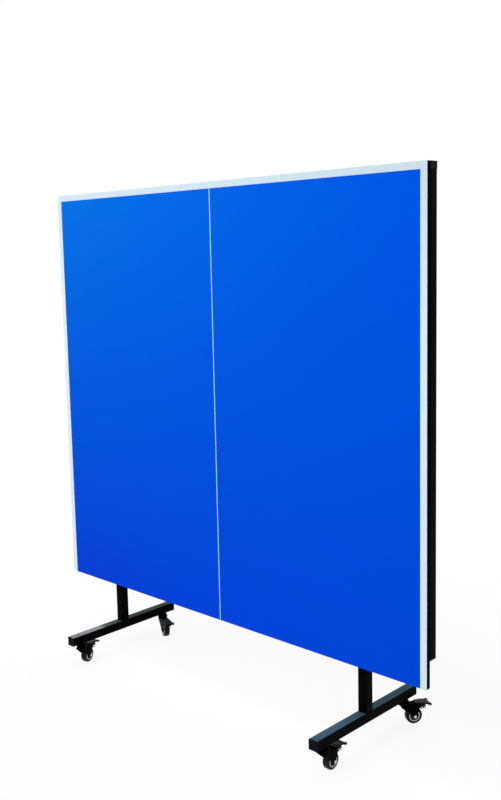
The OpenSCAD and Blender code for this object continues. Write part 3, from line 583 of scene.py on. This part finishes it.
def cross_head(radius, height):
    """A domed screw head with a cross recess, standing on z = 0."""
    rim = 0.25       # share of the height that is an upright rim
    narrowed = 0.55  # share of its length that each slot keeps at the bottom
    long, wide, deep = 1.1 * radius, 0.24 * radius, 0.55 * height
    dome = [(radius, 0.0), (radius, rim * height)]
    dome += [(radius * math.cos(a), height * (rim + (1 - rim) * math.sin(a)))
             for a in (math.radians(d) for d in range(15, 90, 15))]
    verts, faces = lathe(dome + [(0.02 * radius, height)], 32)
    head = bpy.data.meshes.new("head")
    head.from_pydata(verts, [], faces)
    solid = bpy.data.objects.new("head", head)
    cutter_verts, cutter_faces = [], []
    for x, y in ((long, wide), (wide, long)):
        first = len(cutter_verts)
        for z, share in ((height - deep, narrowed), (1.2 * height, 1.0)):
            sx = x / 2 * (share if x > y else 1.0)
            sy = y / 2 * (share if y > x else 1.0)
            cutter_verts += [(-sx, -sy, z), (sx, -sy, z), (sx, sy, z), (-sx, sy, z)]
        cutter_faces += [tuple(first + i for i in face) for face in BOX_FACES]
    cutter_mesh = bpy.data.meshes.new("cutter")
    cutter_mesh.from_pydata(cutter_verts, [], cutter_faces)
    cutter = bpy.data.objects.new("cutter", cutter_mesh)
    for thing in (solid, cutter):
        bpy.context.scene.collection.objects.link(thing)
    cut = solid.modifiers.new("cut", "BOOLEAN")
    cut.object = cutter
    cut.operation = "DIFFERENCE"
    cut.solver = "EXACT"
    cut.use_self = True
    done = solid.evaluated_get(bpy.context.evaluated_depsgraph_get()).to_mesh()
    result = [v.co.copy() for v in done.vertices], [tuple(f.vertices) for f in done.polygons]
    for thing in (solid, cutter):
        bpy.data.objects.remove(thing)
    return result


def make_screw_heads():
    """Cross-recessed heads, each turned to its own angle, over the plain screws of the CAD."""
    chance = random.Random(14)
    points = NODES["frame_screws"].data.vertices
    solids = islands("frame_screws")
    members, low, high = solids[0]
    middle = (low + high) / 2
    radius = (high.x - low.x) / 2
    # The head is as thick as its widest points reach back from its front
    widest = [points[i].co for i in members if points[i].co.z - middle.z > 0.97 * radius]
    thick = high.y - min(p.y for p in widest)
    shape_verts, shape_faces = cross_head(radius, thick)
    outward = Matrix.Rotation(math.radians(-90), 3, "X")
    verts, faces = [], []
    for _, low, high in solids:
        spin = Matrix.Rotation(chance.uniform(0, math.pi / 2), 3, "Z")
        at = Vector(((low.x + high.x) / 2, high.y - thick, (low.z + high.z) / 2))
        first = len(verts)
        verts += [outward @ (spin @ v) + at for v in shape_verts]
        faces += [tuple(first + i for i in face) for face in shape_faces]
    steel = PAINTS["bright_steel"]
    heads = add_piece("frame_screw_heads", verts, faces, "table_top", steel)
    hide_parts("frame_screws")


def make_pedal_pins(place):
    """Bright ends on the blackened steel bar and cross pin in a pedal."""
    proud, shrunk = 0.12 * MM, 0.06 * MM
    node = place + "_pedal"
    mesh = NODES[node].data
    across = Vector(JOINTS[place + "_brake_press"]["axis"])
    solids = sorted(islands(node), key=lambda solid: (solid[2] - solid[1]).length)
    verts, faces = [], []
    for members, low, high in solids[:-1]:
        middle = (low + high) / 2
        number = {}
        for i in members:
            at = mesh.vertices[i].co
            along = (at - middle).dot(across)
            spoke = at - middle - along * across
            number[i] = len(verts)
            verts.append(at + math.copysign(proud, along) * across - shrunk * spoke.normalized())
        own = [f.vertices for f in mesh.polygons if f.vertices[0] in number]
        faces += [tuple(number[i] for i in corners) for corners in own]
    steel = PAINTS["bright_steel"]
    add_piece(place + "_pin_ends", verts, faces, place + "_brake", steel)


def make_pedal_ribs(place):
    """Three raised ribs across a pedal's tail, for the sole of a shoe."""
    # distance behind the pedal's pin, half the length
    ribs = ((24.0 * MM, 11.0 * MM), (28.5 * MM, 11.0 * MM), (33.0 * MM, 12.0 * MM))
    half_width, rise, sunk = 0.9 * MM, 0.8 * MM, 0.05 * MM
    arc, steps = 6, 16
    drop = 50.0 * MM  # the rib's line falls onto the pedal from this high
    mesh = NODES[place + "_pedal"].data
    joint = JOINTS[place + "_brake_press"]
    pin, across = Vector(joint["pos_m"]), Vector(joint["axis"])
    tailward = across.cross(UP)
    corners = [v.co for v in mesh.vertices]
    surface = BVHTree.FromPolygons(corners, [f.vertices for f in mesh.polygons])
    verts, faces = [], []
    for reach, half_length in ribs:
        first = len(verts)
        for i in range(steps + 1):
            share = 2 * i / steps - 1
            at = pin + tailward * reach + across * half_length * share
            hit = surface.ray_cast(at + UP * drop, DOWN)[0]
            ease = math.sqrt(1 - share ** 8)  # 1 along most of the rib, 0 at its tips
            for k in range(arc + 1):
                turn = math.pi * k / arc
                out = tailward * half_width * math.cos(turn) + UP * rise * math.sin(turn)
                verts.append(hit + out * ease - UP * sunk)
        for i in range(steps):
            for k in range(arc):
                a = first + i * (arc + 1) + k
                faces.append((a, a + 1, a + arc + 2, a + arc + 1))
    add_piece(place + "_pedal_ribs", verts, faces, place + "_brake", PEDAL)


make_base_welds()
make_leg_welds()
make_rail_welds()
make_screw_heads()
for place in CASTERS:
    make_pedal_pins(place)
    make_pedal_ribs(place)


# ---- Stage ----
def seen_by_eye(tree):
    """1 for rays from the camera and for those that metal and glass send on."""
    path = tree.nodes.new("ShaderNodeLightPath")
    result = path.outputs["Is Camera Ray"]
    for other in ("Is Glossy Ray", "Is Transmission Ray"):
        node = tree.nodes.new("ShaderNodeMath")
        node.operation = "MAXIMUM"
        tree.links.new(result, node.inputs[0])
        tree.links.new(path.outputs[other], node.inputs[1])
        result = node.outputs[0]
    return result


def make_world():
    world = bpy.data.worlds.new("studio")
    bpy.context.scene.world = world
    world.use_nodes = True
    tree = world.node_tree
    tree.nodes.clear()
    out = tree.nodes.new("ShaderNodeOutputWorld")
    mixer = tree.nodes.new("ShaderNodeMixShader")
    for i, strength in ((1, AMBIENT), (2, 1.0)):
        node = tree.nodes.new("ShaderNodeBackground")
        node.inputs["Color"].default_value = WHITE
        node.inputs["Strength"].default_value = strength
        tree.links.new(node.outputs[0], mixer.inputs[i])
    tree.links.new(seen_by_eye(tree), mixer.inputs[0])
    tree.links.new(mixer.outputs[0], out.inputs[0])


def make_floor():
    """A pale disc that keeps a faint shadow near the object and fades into the white backdrop."""
    verts = [(0.0, 0.0, 0.0)]
    faces = []
    for ring in range(1, FLOOR_RINGS + 1):
        reach = FLOOR_RADIUS * ring / FLOOR_RINGS
        for side in range(FLOOR_SIDES):
            turn = 2 * math.pi * side / FLOOR_SIDES
            verts.append((reach * math.cos(turn), reach * math.sin(turn), 0.0))
    for side in range(FLOOR_SIDES):
        after = (side + 1) % FLOOR_SIDES
        faces.append((0, 1 + side, 1 + after))
        for ring in range(FLOOR_RINGS - 1):
            inner = 1 + ring * FLOOR_SIDES
            outer = inner + FLOOR_SIDES
            faces.append((inner + side, outer + side, outer + after, inner + after))
    mesh = bpy.data.meshes.new("floor")
    mesh.from_pydata(verts, [], faces)
    floor = bpy.data.objects.new("floor", mesh)
    bpy.context.scene.collection.objects.link(floor)
    p = Paint("floor_paper", {"Roughness": 0.9, "Specular IOR Level": 0.0})
    p.colour(p.mix(p.noise(3.0, 2.0), (0.93, 0.93, 0.93), (0.95, 0.95, 0.95)))
    glow = p.add("Emission")
    p.set(glow, {"Color": WHITE, "Strength": FLOOR_GLOW})
    away = p.add("VectorMath", operation="LENGTH")
    p.link(p.place, away.inputs[0])
    share = p.range(away.outputs["Value"], FADE_FROM, FADE_TO, 1.0 - SHADOW_SHARE, 1.0, smooth=True)
    mixer = p.add("MixShader")
    p.link(p.math("MULTIPLY", seen_by_eye(p.tree), share), mixer.inputs[0])
    p.link(p.shader.outputs[0], mixer.inputs[1])
    p.link(glow.outputs[0], mixer.inputs[2])
    out = next(n for n in p.tree.nodes if n.bl_idname == "ShaderNodeOutputMaterial")
    p.link(mixer.outputs[0], out.inputs[0])
    mesh.materials.append(p.material)


def add_softbox(name, at, size, power):
    data = bpy.data.lights.new(name, "AREA")
    data.shape = "DISK"
    data.size = size
    data.energy = power
    light = bpy.data.objects.new(name, data)
    bpy.context.scene.collection.objects.link(light)
    light.location = at
    light.rotation_mode = "QUATERNION"
    light.rotation_quaternion = (Vector(AIM_AT) - Vector(at)).to_track_quat("-Z", "Y")


def make_camera():
    ahead = Vector((-math.sin(YAW), math.cos(YAW), 0.0))
    forward = ahead * math.cos(PITCH) + DOWN * math.sin(PITCH)
    level = Vector((math.cos(YAW), math.sin(YAW), 0.0))
    above = level.cross(forward)
    right = math.cos(ROLL) * level + math.sin(ROLL) * above
    up = math.cos(ROLL) * above - math.sin(ROLL) * level
    data = bpy.data.cameras.new("camera")
    data.lens, data.sensor_width = LENS, SENSOR
    data.shift_x, data.shift_y = SHIFT
    data.clip_start, data.clip_end = 0.05, 60.0
    camera = bpy.data.objects.new("camera", data)
    bpy.context.scene.collection.objects.link(camera)
    turned = Matrix((right, up, -forward)).transposed().to_4x4()
    turned.translation = CAMERA_AT
    camera.matrix_world = turned
    bpy.context.scene.camera = camera


make_world()
make_floor()
for name, (at, size, power) in SOFTBOXES.items():
    add_softbox(name, at, size, power)
make_camera()
bpy.context.scene.view_settings.view_transform = "Standard"
